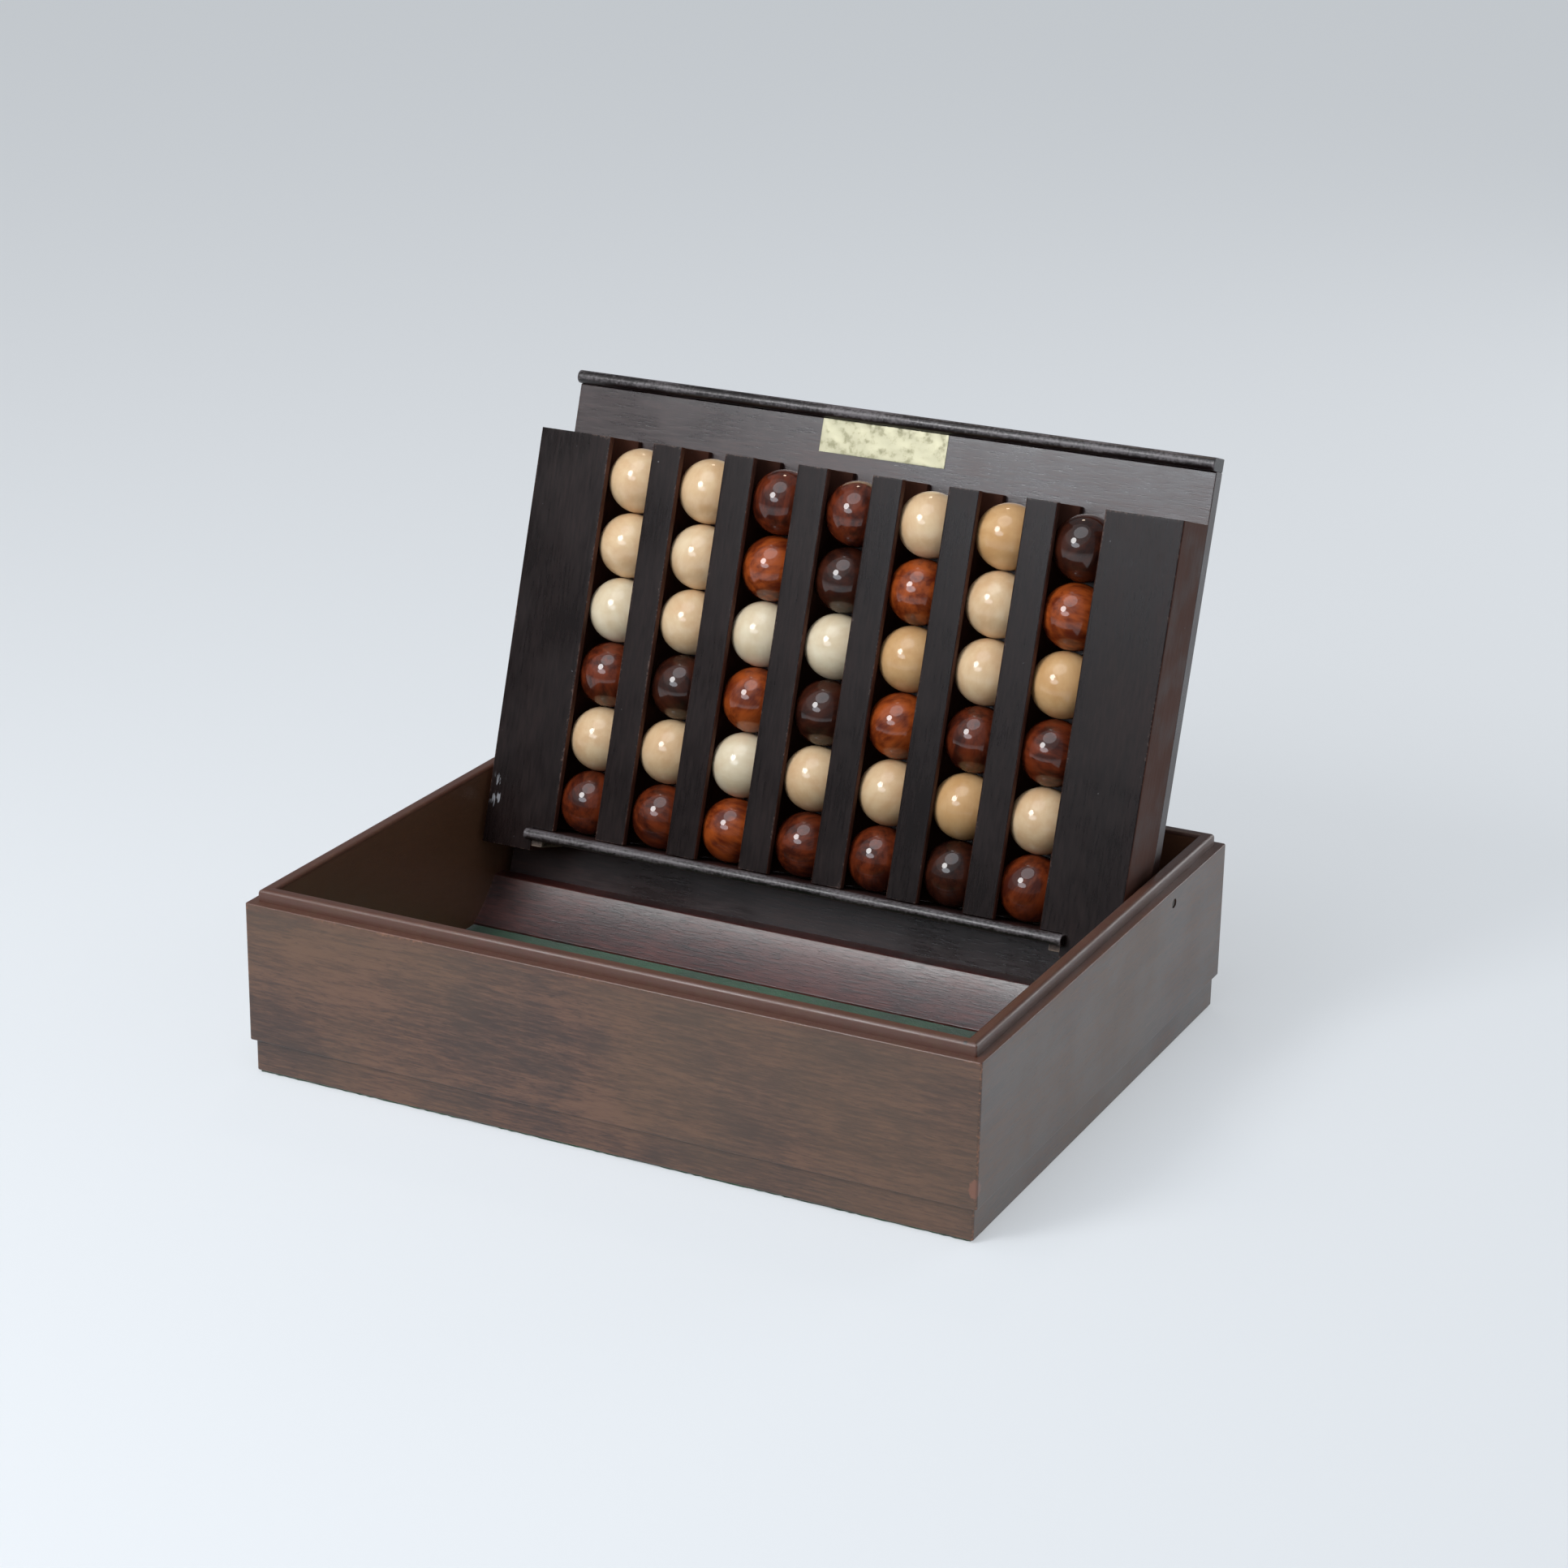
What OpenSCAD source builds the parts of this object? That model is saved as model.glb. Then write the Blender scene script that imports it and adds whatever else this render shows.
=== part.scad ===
// Dropped-ball line game: an open tray, and a leaning rack of seven ball channels that folds into it.
// Millimetres. Origin at the centre of the tray's underside, +X right, -Y front, +Z up.

/* [Balls] */
// Diameter of a ball
ball_d = 25; // [22:0.1:28]
// Gap between balls stacked in a channel
ball_gap = 0.05; // [0.05:0.05:0.4]
// Gap between a ball and what it lies against
ball_rest_gap = 0.3; // [0.25:0.05:0.5]

/* [Channels] */
// Radial play of a ball in its round channel
ball_play = 1.2; // [0.5:0.05:1.6]
// Wood left between two channels where they come closest
web_t = 3.3; // [2:0.1:10]
// Width by which a channel is open at the front, and behind towards the board
opening_w = 18.4; // [12:0.1:21]
// Thickness of the lips that keep the balls in
lip_t = 2.7; // [1:0.1:5]

/* [Rack] */
// Angle that the rack leans back from upright in play
lean = 17.5; // [10:0.5:25]
// Width of the plain front face outside the last channel
end_face_w = 30.3; // [24:0.1:45]
// Height of the bare block above the highest ball
head_room = 2.4; // [0:0.1:6]
// Thickness of the board behind the channels
board_t = 6.5; // [4:0.1:12]
// Height of the board above the block
board_rise = 19.4; // [16:0.1:30]
// Length of the board below the block
board_drop = 17; // [12:0.1:22]
// Thickness of the strip on the board's top edge
cap_t = 5; // [3:0.1:10]
// How far the top strip stands forward of the board
cap_project = 4; // [2:0.1:8]

/* [Release shelf] */
// Height of the shelf's underside above the end blocks' lower ends
shelf_s = 5.1; // [4:0.1:8]
// Thickness of the shelf that the balls stand on
shelf_t = 3.5; // [2:0.1:5]
// Depth of the shelf into the rack
shelf_reach = 17.5; // [15:0.1:22]
// Height of the strip that the fingers pull
strip_h = 4.2; // [3.5:0.1:8]
// Thickness of that strip
strip_t = 4.2; // [2.5:0.1:6]
// Overlap of the strip on each end block's face
strip_lap = 1.4; // [1:0.1:6]
// Width of the shelf outside the outermost channels
shelf_margin = 4.1; // [2:0.1:8]
// Thickness of the two runners under the shelf
runner_h = 3; // [2:0.1:4]
// Width of a runner
runner_w = 4.6; // [2:0.1:4.8]
// Setback of a runner's front end behind the end block's face
runner_setback = 0.6; // [0:0.1:4]
// Clearance round the sliding shelf
slide_gap = 0.3; // [0.25:0.05:0.6]

/* [Pivot] */
// Diameter of the steel pins that the rack turns on
pin_d = 3.5; // [2:0.1:4]
// Radial running clearance of a pin in the end block
pin_play = 0.05; // [0.02:0.01:0.08]
// Length of a pin inside the end block
pin_bury = 20; // [8:0.5:24]
// Recess of a pin's end in the tray's outer face
pin_recess = 0.4; // [0.1:0.1:2]
// Height of the pivot above the end blocks' lower ends, along the rack
pivot_s = 25; // [20:0.5:32]
// Depth of the pivot behind the rack's front face
pivot_d = 22.8; // [16:0.1:23]

/* [Tray] */
// Thickness of the tray's walls
wall_t = 8.5; // [6:0.1:14]
// Height of the tray to the top of the inner lip
tray_h = 70.3; // [64:0.1:90]
// Height of the lip above the outer ledge
lip_h = 4.5; // [3:0.1:8]
// Width of the outer ledge
ledge_w = 3.4; // [1:0.1:4]
// Radius that rounds the lip's two edges
lip_r = 1.6; // [0.5:0.1:1.8]
// Height of the step round the foot
plinth_h = 13; // [9:0.1:20]
// How far the foot is set in
plinth_inset = 1.6; // [0.5:0.1:3]
// Clearance between the rack and each side wall
side_gap = 2.4; // [1:0.1:6]
// Clearance between the folded rack and the front wall
front_gap = 2.3; // [1:0.1:5]
// Clearance between the turning board's lower end and the back wall
back_gap = 1.5; // [1:0.1:6]
// Depth of the folded rack's back below the top of the lip
close_drop = 0.5; // [0:0.1:4]

/* [Floor] */
// Thickness of the bottom panel
base_t = 7.2; // [4:0.1:10]
// Width of the rebate in the walls that holds the bottom panel
base_rebate = 4; // [2:0.1:5]
// Thickness of the baize on the floor
floor_baize_t = 1; // [0.5:0.1:2]
// Thickness of the baize under the tray
under_baize_t = 0.8; // [0.5:0.1:2]
// Margin between the under baize and the foot's edge
under_baize_margin = 0.8; // [0:0.1:3]

/* [Ball ramp] */
// Length of the ramp's slope from front to back
ramp_run = 16; // [12:0.5:24]
// Height of the ramp's front edge
ramp_toe_h = 0.8; // [0.4:0.1:3]
// How far the slope is hollowed below a straight line
ramp_hollow = 1; // [0.3:0.1:3]
// Depth of the level top behind the slope
ramp_land = 6.1; // [2:0.1:8]
// Height by which the ramp's back overlaps the leaning board's lower end
stop_overlap = 5; // [1:0.1:7]
// Gap between the ramp's back and the leaning board
stop_gap = 0.3; // [0.25:0.05:0.6]

/* [Front rail] */
// Depth of the rail inside the front wall that the folded rack comes down on
rail_d = 6.5; // [5:0.1:12]
// Height of that rail
rail_h = 6; // [4:0.1:12]
// Gap between the rail and the folded rack
rail_gap = 0.4; // [0.25:0.05:1]

/* [Label] */
// Width of the bare label plate
label_w = 52; // [30:0.5:80]
// Height of the plate
label_h = 12.7; // [8:0.1:14]
// Thickness of the plate
label_t = 0.3; // [0.2:0.05:0.6]
// Gap between the plate and the top strip
label_drop = 0.3; // [0.1:0.1:3]

/* [Hidden] */
$fn = 64;
COLUMNS = 7;
ROWS = 6;
// Each channel's balls from the bottom up: D is a dark ball, L a light one
LAYOUT = ["DLDLLL", "DLDLLL", "DLDLDD", "DLDLDD", "DLDLDL", "DLDLLL", "DLDLDD"];
CUT = 1;

// Channel section, as x across and d behind the rack's front face
bore_r = ball_d / 2 + ball_play;
pitch = 2 * bore_r + web_t;
bore_d = lip_t + sqrt(bore_r * bore_r - opening_w * opening_w / 4);
block_d = 2 * bore_d;
rack_d = block_d + board_t;
first_x = -(COLUMNS - 1) / 2 * pitch;
last_x = -first_x;
rack_half = last_x + opening_w / 2 + end_face_w;

// Heights along the rack, as s above the end blocks' lower ends
shelf_top = shelf_s + shelf_t;
channel_s = shelf_top + slide_gap;
ball_pitch = ball_d + ball_gap;
ball_depth = block_d - ball_rest_gap - ball_d / 2;
first_ball_s = shelf_top + ball_rest_gap + ball_d / 2;
block_top = first_ball_s + (ROWS - 1) * ball_pitch + ball_d / 2 + head_room;
board_top = block_top + board_rise;
rack_top = board_top + cap_t;

// The shelf slides between the end blocks' lower parts, just outside the outermost channels
shelf_half = last_x + bore_r + shelf_margin;
slot_half = shelf_half + slide_gap;
strip_half = slot_half + strip_lap;

// The pivot stands where the folded rack fills the tray from front to back and closes its top
reach_front = norm([rack_top - pivot_s, rack_d - pivot_d]);
reach_back = norm([board_drop + pivot_s, rack_d - pivot_d]);
inner_half_d = (reach_front + front_gap + reach_back + back_gap) / 2;
inner_half_w = rack_half + side_gap;
tray_w = 2 * (inner_half_w + wall_t);
tray_d = 2 * (inner_half_d + wall_t);
pivot_y = inner_half_d - back_gap - reach_back;
pivot_z = tray_h - close_drop - (rack_d - pivot_d);

// Floor levels
foot_z = under_baize_t;
base_top = foot_z + base_t;
floor_z = base_top + floor_baize_t;
ledge_z = tray_h - lip_h;

// A rack point (d, s) as the tray's y and z while the rack leans
function leaning_y(d, s) = pivot_y + (d - pivot_d) * cos(lean) + (s - pivot_s) * sin(lean);
function leaning_z(d, s) = pivot_z - (d - pivot_d) * sin(lean) + (s - pivot_s) * cos(lean);

// The ramp's back stops the leaning board's lower front corner
ramp_back_y = leaning_y(block_d, -board_drop) - stop_gap;
ramp_top_z = leaning_z(block_d, -board_drop) + stop_overlap;
ramp_crest = [ramp_back_y - ramp_land, ramp_top_z];
ramp_toe = [ramp_crest.x - ramp_run, floor_z + ramp_toe_h];

// Puts children drawn in the rack's own x, d, s into their leaning place
module on_rack() {
    translate([0, pivot_y, pivot_z])
        rotate([-lean, 0, 0])
            translate([0, -pivot_d, -pivot_s])
                children();
}

// A rack strip with a half-round front: x from -half to half, depth d from front to back, height h up from s
module round_nosed_strip(half, front, back, s, h) {
    translate([-half, 0, s])
        rotate([90, 0, 90])
            linear_extrude(2 * half) {
                translate([front + h / 2, 0]) square([back - front - h / 2, h]);
                translate([front + h / 2, h / 2]) circle(h / 2);
            }
}

// Section of a tray wall: o inwards from the outer face, z up
module wall_section() {
    difference() {
        union() {
            translate([0, plinth_h])
                square([wall_t, ledge_z - plinth_h]);
            translate([plinth_inset, foot_z])
                square([wall_t - plinth_inset, ledge_z - foot_z - CUT]);
            translate([ledge_w, plinth_h])
                square([wall_t - ledge_w, tray_h - lip_r - plinth_h]);
            translate([ledge_w + lip_r, plinth_h])
                square([wall_t - ledge_w - 2 * lip_r, tray_h - plinth_h]);
            for (o = [ledge_w + lip_r, wall_t - lip_r])
                translate([o, tray_h - lip_r])
                    circle(lip_r);
        }
        translate([wall_t - base_rebate, foot_z - CUT])
            square([base_rebate + CUT, base_t + CUT]);
    }
}

// A wall of the given length with mitred ends, its outer face towards -Y at the given distance
module mitred_wall(run, out) {
    intersection() {
        translate([-run / 2, -out, 0])
            rotate([90, 0, 90])
                linear_extrude(run)
                    wall_section();
        linear_extrude(tray_h + CUT)
            polygon([[-run / 2, -out], [run / 2, -out],
                     [run / 2 - wall_t, wall_t - out], [wall_t - run / 2, wall_t - out]]);
    }
}

// A bar along X through the pivot, from x = a to x = b
module pivot_bar(a, b, r) {
    translate([a, pivot_y, pivot_z])
        rotate([0, 90, 0])
            cylinder(h = b - a, r = r);
}

module front_wall() {
    color("#5d4434") mitred_wall(tray_w, tray_d / 2);
}

module back_wall() {
    color("#54402f") rotate([0, 0, 180]) mitred_wall(tray_w, tray_d / 2);
}

// Side walls, each drilled for its pin; side is 1 for the right wall and -1 for the left
module side_wall(side) {
    color("#4c392c")
        difference() {
            rotate([0, 0, 90 * side]) mitred_wall(tray_d, tray_w / 2);
            pivot_bar(min(side * (inner_half_w - CUT), side * (tray_w / 2 + CUT)),
                      max(side * (inner_half_w - CUT), side * (tray_w / 2 + CUT)), pin_d / 2);
        }
}

module base_panel() {
    w = 2 * (inner_half_w + base_rebate);
    d = 2 * (inner_half_d + base_rebate);
    color("#3b2a20") translate([-w / 2, -d / 2, foot_z]) cube([w, d, base_t]);
}

module floor_baize() {
    color("#17402a")
        translate([-inner_half_w, -inner_half_d, base_top])
            cube([2 * inner_half_w, 2 * inner_half_d, floor_baize_t]);
}

module underside_baize() {
    w = tray_w - 2 * (plinth_inset + under_baize_margin);
    d = tray_d - 2 * (plinth_inset + under_baize_margin);
    color("#17402a") translate([-w / 2, -d / 2, 0]) cube([w, d, under_baize_t]);
}

// Hollowed moulding that turns the falling balls forward, and whose back holds the rack's lean
module ball_ramp() {
    chord = norm(ramp_crest - ramp_toe);
    hollow_r = (chord * chord / 4 + ramp_hollow * ramp_hollow) / (2 * ramp_hollow);
    out = [ramp_toe.y - ramp_crest.y, ramp_crest.x - ramp_toe.x] / chord;
    hollow_centre = (ramp_toe + ramp_crest) / 2 + out * (hollow_r - ramp_hollow);
    color("#4a2a20")
        translate([-inner_half_w, 0, 0])
            rotate([90, 0, 90])
                linear_extrude(2 * inner_half_w)
                    difference() {
                        polygon([[ramp_toe.x, floor_z], [ramp_back_y, floor_z],
                                 [ramp_back_y, ramp_top_z], ramp_crest, ramp_toe]);
                        translate(hollow_centre) circle(hollow_r, $fn = 256);
                    }
}

// Rail inside the front wall that the folded rack's top strip comes down on
module front_rest_rail() {
    cap_front_z = pivot_z + block_d - cap_project - pivot_d;
    color("#3b2a20")
        translate([-inner_half_w, -inner_half_d, cap_front_z - rail_gap - rail_h])
            cube([2 * inner_half_w, rail_d, rail_h]);
}

module pivot_pin(side) {
    inner = side * (rack_half - pin_bury);
    outer = side * (tray_w / 2 - pin_recess);
    color("silver") pivot_bar(min(inner, outer), max(inner, outer), pin_d / 2);
}

module back_board() {
    color("#40302c")
        difference() {
            on_rack()
                translate([-rack_half, block_d, -board_drop])
                    cube([2 * rack_half, board_t, board_top + board_drop]);
            for (side = [-1, 1])
                pivot_hole(side);
        }
}

module top_cap() {
    color("#2a1f1d")
        on_rack() round_nosed_strip(rack_half, block_d - cap_project, rack_d, board_top, cap_t);
}

// Running hole for a pin, from the rack's side face to just past the pin's end
module pivot_hole(side) {
    inner = side * (rack_half - pin_bury - CUT);
    outer = side * (rack_half + CUT);
    pivot_bar(min(inner, outer), max(inner, outer), pin_d / 2 + pin_play);
}

// Section of one channel at x = 0: the round bore and its narrower openings in front and behind
module channel_section() {
    translate([0, bore_d]) circle(bore_r);
    translate([-opening_w / 2, -CUT]) square([opening_w, block_d + 2 * CUT]);
}

// Hollow-sided strip between channels k and k + 1
module divider(k) {
    x = first_x + (k - 0.5) * pitch;
    color("#37302f")
        on_rack()
            translate([0, 0, channel_s])
                linear_extrude(block_top - channel_s)
                    difference() {
                        translate([x - pitch / 2, 0]) square([pitch, block_d]);
                        for (side = [-1, 1])
                            translate([x + side * pitch / 2, 0]) channel_section();
                    }
}

// End block: full height outside the shelf's slot, and cut away below the channels inside it
module end_block(side) {
    color("#37302f")
        difference() {
            on_rack()
                difference() {
                    translate([side > 0 ? last_x : -rack_half, 0, 0])
                        cube([rack_half - last_x, block_d, block_top]);
                    translate([side * last_x, 0, -CUT])
                        linear_extrude(block_top + 2 * CUT) channel_section();
                    translate([side > 0 ? last_x - CUT : -slot_half, -CUT, -CUT])
                        cube([slot_half - last_x + CUT, block_d + 2 * CUT, channel_s + CUT]);
                }
            pivot_hole(side);
        }
}

// Strip along the end block's inner face that the shelf slides on
module runner(side) {
    color("#5a4436")
        on_rack()
            translate([side > 0 ? slot_half - runner_w : -slot_half,
                       runner_setback, shelf_s - slide_gap - runner_h])
                cube([runner_w, shelf_reach, runner_h]);
}

// Bare plate where a name would go
module label_plate() {
    color("#cdb866")
        on_rack()
            translate([-label_w / 2, block_d - label_t, board_top - label_drop - label_h])
                cube([label_w, label_t, label_h]);
}

module release_shelf() {
    color("#33292a")
        on_rack()
            translate([-shelf_half, -slide_gap, shelf_s])
                cube([2 * shelf_half, shelf_reach + slide_gap, shelf_t]);
}

module shelf_pull_strip() {
    color("#4a4142")
        on_rack() round_nosed_strip(strip_half, -slide_gap - strip_t, -slide_gap, shelf_top - strip_h, strip_h);
}

// The balls of one colour in channel k: "L" light or "D" dark
module ball_stack(k, tone) {
    color(tone == "L" ? "#e3cfa2" : "#5a2417")
        on_rack()
            for (row = [0:ROWS - 1])
                if (LAYOUT[k - 1][row] == tone)
                    translate([first_x + (k - 1) * pitch, ball_depth, first_ball_s + row * ball_pitch])
                        sphere(d = ball_d);
}

front_wall();
back_wall();
side_wall(-1);  // left_wall
side_wall(1);  // right_wall
base_panel();
floor_baize();
underside_baize();
ball_ramp();
front_rest_rail();
pivot_pin(-1);  // pivot_pin_left
pivot_pin(1);  // pivot_pin_right
back_board();
top_cap();
end_block(-1);  // end_block_left
end_block(1);  // end_block_right
for (k = [1:COLUMNS - 1])
    divider(k);
runner(-1);  // runner_left
runner(1);  // runner_right
label_plate();
release_shelf();
shelf_pull_strip();
for (k = [1:COLUMNS]) {
    ball_stack(k, "L");
    ball_stack(k, "D");
}
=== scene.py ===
# %% [markdown]
# # A four-in-a-row ball game in a wooden tray
#
# The real object is a shallow tray of dark stained wood. A rack of seven round channels leans in it,
# and each channel holds six varnished wooden balls. A strip along the rack's foot pulls a shelf out
# from under the balls, and they roll forward over a glossy ramp.
#
# The CAD model gives every place and size. This lesson builds the looks around it: soft edges, wood
# grain, turned balls, baize cloth and worn stain. Shapes are surfaces worked out with numpy, so that
# each edge can be rounded exactly as much as a hand would feel it.

import math

import bmesh
import bpy
import numpy as np
from mathutils import Matrix, Vector


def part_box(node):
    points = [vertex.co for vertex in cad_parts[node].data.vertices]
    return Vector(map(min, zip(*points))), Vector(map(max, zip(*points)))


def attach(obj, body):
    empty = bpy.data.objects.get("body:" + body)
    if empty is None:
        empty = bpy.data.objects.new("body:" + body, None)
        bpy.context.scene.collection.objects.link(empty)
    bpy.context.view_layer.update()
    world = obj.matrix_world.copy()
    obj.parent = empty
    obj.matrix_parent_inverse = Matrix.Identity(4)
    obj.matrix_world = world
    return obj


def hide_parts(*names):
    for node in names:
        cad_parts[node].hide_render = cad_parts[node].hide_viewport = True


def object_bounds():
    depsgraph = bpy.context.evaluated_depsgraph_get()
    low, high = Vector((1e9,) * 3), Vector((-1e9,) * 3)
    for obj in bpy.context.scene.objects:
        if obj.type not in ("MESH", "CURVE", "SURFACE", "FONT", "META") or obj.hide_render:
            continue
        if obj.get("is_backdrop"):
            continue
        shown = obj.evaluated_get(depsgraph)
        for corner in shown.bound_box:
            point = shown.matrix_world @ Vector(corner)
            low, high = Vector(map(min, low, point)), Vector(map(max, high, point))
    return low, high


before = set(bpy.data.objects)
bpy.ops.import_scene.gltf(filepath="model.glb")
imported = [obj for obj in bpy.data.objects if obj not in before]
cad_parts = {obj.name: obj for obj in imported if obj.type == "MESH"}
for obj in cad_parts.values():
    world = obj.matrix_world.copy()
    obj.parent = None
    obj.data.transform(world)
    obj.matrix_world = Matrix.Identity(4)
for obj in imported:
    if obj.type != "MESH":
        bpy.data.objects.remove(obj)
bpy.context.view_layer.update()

# %% [markdown]
# ## The rack's own axes
#
# The rack leans back by 17.5 degrees, so its parts are simplest in its own measures: x across, d in
# depth behind its front face, and s up along it from the end blocks' lower ends. One function turns
# x, d, s into the tray's x, y, z. It works on whole arrays, so a grid of points goes through at once.

# %% Measures, in metres
MM = 0.001
TRAY_W, TRAY_D, TRAY_H = 285 * MM, 225.0641 * MM, 70.3 * MM
WALL_T, LEDGE_W, LEDGE_Z = 8.5 * MM, 3.4 * MM, 65.8 * MM
FOOT_Z, FOOT_TOP, FOOT_INSET = 0.8 * MM, 13 * MM, 1.6 * MM
REBATE_W, PANEL_TOP = 4 * MM, 8 * MM
PIVOT_Y, PIVOT_Z, PIVOT_D, PIVOT_S = 59.4924 * MM, 60.3973 * MM, 22.8 * MM, 25 * MM
PIN_R = 1.75 * MM
LEAN = math.radians(17.5)
RACK_HALF, BLOCK_D, RACK_D = 131.6 * MM, 25.7027 * MM, 32.2027 * MM
PITCH, FIRST_X, OPENING_W = 30.7 * MM, -92.1 * MM, 18.4 * MM
BORE_R, BORE_D = 13.7 * MM, 12.8514 * MM
CHANNEL_S, BLOCK_TOP, BOARD_TOP, RACK_TOP = 8.9 * MM, 161.55 * MM, 180.95 * MM, 185.95 * MM
SLOT_HALF = 110.2 * MM


def on_rack(x, d, s):
    """Rack x, d, s as points in the tray's frame: a turn by the lean about the pivot's line."""
    depth, height = d - PIVOT_D, s - PIVOT_S
    y = PIVOT_Y + depth * math.cos(LEAN) + height * math.sin(LEAN)
    z = PIVOT_Z - depth * math.sin(LEAN) + height * math.cos(LEAN)
    return np.stack(np.broadcast_arrays(x, y, z), -1)


print("rack top edge", on_rack(0, RACK_D, RACK_TOP))

# %% [markdown]
# ## Turning arrays into pieces
#
# Every new piece goes through one helper. It fills a mesh, closes seams, points the faces outwards,
# marks the hard edges and asks for weighted normals, which keep flat faces flat right up to their
# small rounded edges.

# %% A helper for finished pieces
SHARP = math.radians(40)


def make_piece(name, points, faces, body, node, slot, weighted=True, **attributes):
    """Makes a mesh from points (n, 3) and faces, with one float or vector attribute per name."""
    mesh = bpy.data.meshes.new(name)
    mesh.from_pydata(points.tolist(), [], faces)
    for key, values in attributes.items():
        vector = values.ndim == 2
        layer = mesh.attributes.new(key, "FLOAT_VECTOR" if vector else "FLOAT", "POINT")
        layer.data.foreach_set("vector" if vector else "value", values.astype(np.float32).ravel())
    work = bmesh.new()
    work.from_mesh(mesh)
    bmesh.ops.remove_doubles(work, verts=work.verts, dist=1e-7)
    bmesh.ops.dissolve_degenerate(work, edges=work.edges, dist=1e-7)
    bmesh.ops.recalc_face_normals(work, faces=work.faces)
    work.to_mesh(mesh)
    work.free()
    mesh.shade_smooth()
    mesh.set_sharp_from_angle(angle=SHARP)
    piece = bpy.data.objects.new(name, mesh)
    bpy.context.scene.collection.objects.link(piece)
    if weighted:
        piece.modifiers.new("flat faces", "WEIGHTED_NORMAL").keep_sharp = True
    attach(piece, body)
    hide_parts(*([node] if isinstance(node, str) else node))
    return piece


# %% [markdown]
# ## A section carried along a line
#
# Most parts of the box are strips: one cross-section carried along a straight line. A section starts
# as a few corners. Each corner becomes a small arc, and long sides get extra points, so that wear can
# fade away from the edges. At both ends the section shrinks as it travels a quarter circle, which
# rounds the end edges too.


# %% Sections with rounded corners
def rounded(corners, radii, steps=4):
    """A closed outline in which an arc of the given radius takes each corner's place.

    The arc's centre lies on the corner's bisector, radius / sin(half angle) away, and its points
    are blended between the two tangent points by sines, so that they keep to the circle.
    """
    p, r = np.asarray(corners, float), np.asarray(radii, float)[:, None]
    u, v = np.roll(p, 1, 0) - p, np.roll(p, -1, 0) - p
    u, v = u / np.linalg.norm(u, axis=1)[:, None], v / np.linalg.norm(v, axis=1)[:, None]
    half = np.arccos(np.clip((u * v).sum(1), -1, 1))[:, None] / 2
    bisector = u + v
    centre = p + bisector / (np.linalg.norm(bisector, axis=1)[:, None] + 1e-12) * r / np.sin(half)
    start, end = p + u * r / np.tan(half) - centre, p + v * r / np.tan(half) - centre
    turn = (np.pi - 2 * half)[:, None] + 1e-9
    k = np.linspace(0, 1, steps + 1)[None, :, None]
    blend = np.sin((1 - k) * turn) * start[:, None] + np.sin(k * turn) * end[:, None]
    points = (centre[:, None] + blend / np.sin(turn)).reshape(-1, 2)
    return points[np.linalg.norm(points - np.roll(points, 1, 0), axis=1) > 1e-8]


def with_stops(outline, longest):
    """The same outline with points added evenly, so that no side is longer than longest."""
    side = np.roll(outline, -1, 0) - outline
    count = np.maximum(1, np.ceil(np.linalg.norm(side, axis=1) / longest - 1e-6)).astype(int)
    first = np.repeat(np.arange(len(outline)), count)
    step = np.arange(count.sum()) - np.repeat(np.cumsum(count) - count, count)
    return outline[first] + side[first] * (step / count[first])[:, None]


def outward(outline):
    """Unit normals of a closed outline: each point's two neighbours give its direction."""
    along = np.roll(outline, -1, 0) - np.roll(outline, 1, 0)
    x, y = outline.T
    turn = np.sign((x * np.roll(y, -1) - np.roll(x, -1) * y).sum())
    normal = np.stack([along[:, 1], -along[:, 0]], 1) * turn
    return normal / np.linalg.norm(normal, axis=1)[:, None]


def edge_wear(outline, corners, fade):
    """1 at the named corners, falling to 0 at the distance fade from them."""
    gap = np.linalg.norm(outline[:, None] - np.asarray(corners, float)[None], axis=2).min(1)
    return np.clip(1 - gap / fade, 0, 1)


def ring_quads(rings, size):
    """Quads between neighbouring closed rings, and the grid of point numbers."""
    here = np.arange(rings * size).reshape(rings, size)
    there = np.roll(here, -1, 1)
    return np.stack([here[:-1], there[:-1], there[1:], here[1:]], -1).reshape(-1, 4), here


def ring_faces(rings, size):
    """The rings' quads, and one face at each end."""
    quads, here = ring_quads(rings, size)
    return quads.tolist() + [here[0][::-1].tolist(), here[-1].tolist()]


def sheet_quads(shape):
    """Quads of an open grid, and the grid of point numbers."""
    here = np.arange(shape[0] * shape[1]).reshape(shape)
    quads = np.stack([here[:-1, :-1], here[1:, :-1], here[1:, 1:], here[:-1, 1:]], -1)
    return quads.reshape(-1, 4).tolist(), here


RING_STEP = 12 * MM


def eased_end(ease, cap, fade):
    """How far each ring near an end stands from it, and how far it is drawn in.

    A ring stands ease * (1 - cos t) from the end and is drawn in by ease * (1 - sin t), a quarter
    circle. cap stays below the corners' radius, or the end face would cross itself.
    """
    t = np.linspace(0, np.pi / 2, 4)
    travel = np.r_[0, ease * (1 - np.cos(t)), ease + fade / 3, ease + fade]
    return travel, np.r_[cap, ease * (1 - np.sin(t)), 0, 0]


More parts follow.
